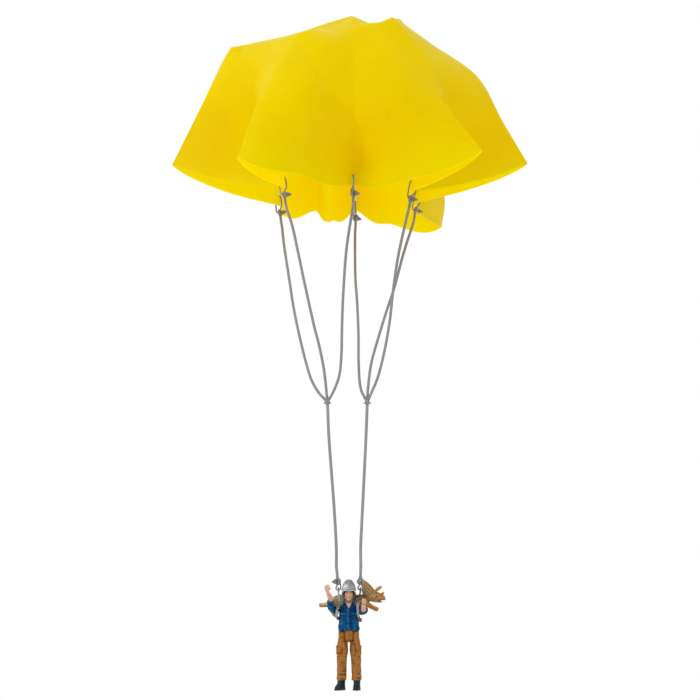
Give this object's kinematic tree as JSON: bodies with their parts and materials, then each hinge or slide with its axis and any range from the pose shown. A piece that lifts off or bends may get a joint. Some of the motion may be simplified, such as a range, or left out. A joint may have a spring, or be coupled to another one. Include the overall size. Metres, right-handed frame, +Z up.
{
  "type": "toy parachute",
  "caption": "Toy parachute: a folded-open film canopy on moulded shroud lines that carries a helmeted figure with a young horned dinosaur strapped to its back.",
  "frame": {"origin": "the canopy's crown, at the top of the film, by which the toy is held", "axes": "+Z up along the hanging toy, -Y to the front where the figure faces, +X to the viewer's right"},
  "size_m": [0.3113, 0.2467, 0.5852],
  "materials": {
    "canopy_film": "smooth thin film",
    "line_plastic": "satin soft moulding",
    "strap": "satin moulded webbing",
    "buckle": "matt",
    "helmet": "satin, mottled silver paint",
    "pad": "matt",
    "skin": "matt paint",
    "hair": "matt paint",
    "shirt": "matt paint over moulded folds",
    "trousers": "matt paint over moulded folds",
    "boots": "satin paint",
    "pin_steel": "plain",
    "hide": "matt paint over moulded scales"
  },
  "bodies": {
    "parachute": {"canopy": "canopy_film", "tie_front": "line_plastic", "tie_rear": "line_plastic", "tie_front_left": "line_plastic", "tie_rear_left": "line_plastic", "tie_front_right": "line_plastic", "tie_rear_right": "line_plastic", "line_front": "line_plastic", "line_rear": "line_plastic", "line_front_left": "line_plastic", "line_rear_left": "line_plastic", "line_front_right": "line_plastic", "line_rear_right": "line_plastic", "junction_left": "line_plastic", "junction_right": "line_plastic", "riser_left": "line_plastic", "riser_right": "line_plastic", "riser_tie_left": "line_plastic", "riser_tie_right": "line_plastic"},
    "figure": {"torso": "shirt", "crotch_piece": "trousers", "hip_pin": "pin_steel", "harness_carrier": "strap", "harness_strap_left": "strap", "harness_strap_right": "strap", "harness_buckle": "buckle", "dinosaur": "hide"},
    "head": {"head": "skin", "hair": "hair", "helmet": "helmet", "helmet_strap": "strap", "ear_pad_left": "pad", "ear_pad_right": "pad"},
    "arm_left": {"sleeve_left": "shirt", "forearm_left": "skin"},
    "arm_right": {"sleeve_right": "shirt", "forearm_right": "skin"},
    "leg_left": {"trouser_leg_left": "trousers", "boot_left": "boots"},
    "leg_right": {"trouser_leg_right": "trousers", "boot_right": "boots"}
  },
  "joints": [
    {"name": "figure_swing", "type": "hinge", "parent": "parachute", "child": "figure", "pos_m": [-0.0027, 0.0037, -0.5004], "axis": [1, 0, 0], "range_deg": [-40, 25]},
    {"name": "neck_turn", "type": "hinge", "parent": "figure", "child": "head", "pos_m": [-0.0027, 0, -0.5116], "axis": [0, 0, 1], "range_deg": [-60, 60]},
    {"name": "shoulder_left", "type": "hinge", "parent": "figure", "child": "arm_left", "pos_m": [-0.0027, 0, -0.5176], "axis": [1, 0, 0], "range_deg": [-25, 75]},
    {"name": "shoulder_right", "type": "hinge", "parent": "figure", "child": "arm_right", "pos_m": [-0.0027, 0, -0.5176], "axis": [1, 0, 0], "range_deg": [-35, 25]},
    {"name": "hip_left", "type": "hinge", "parent": "figure", "child": "leg_left", "pos_m": [-0.0027, 0, -0.5394], "axis": [1, 0, 0], "range_deg": [-60, 25]},
    {"name": "hip_right", "type": "hinge", "parent": "figure", "child": "leg_right", "pos_m": [-0.0027, 0, -0.5394], "axis": [1, 0, 0], "range_deg": [-60, 25]}
  ]
}
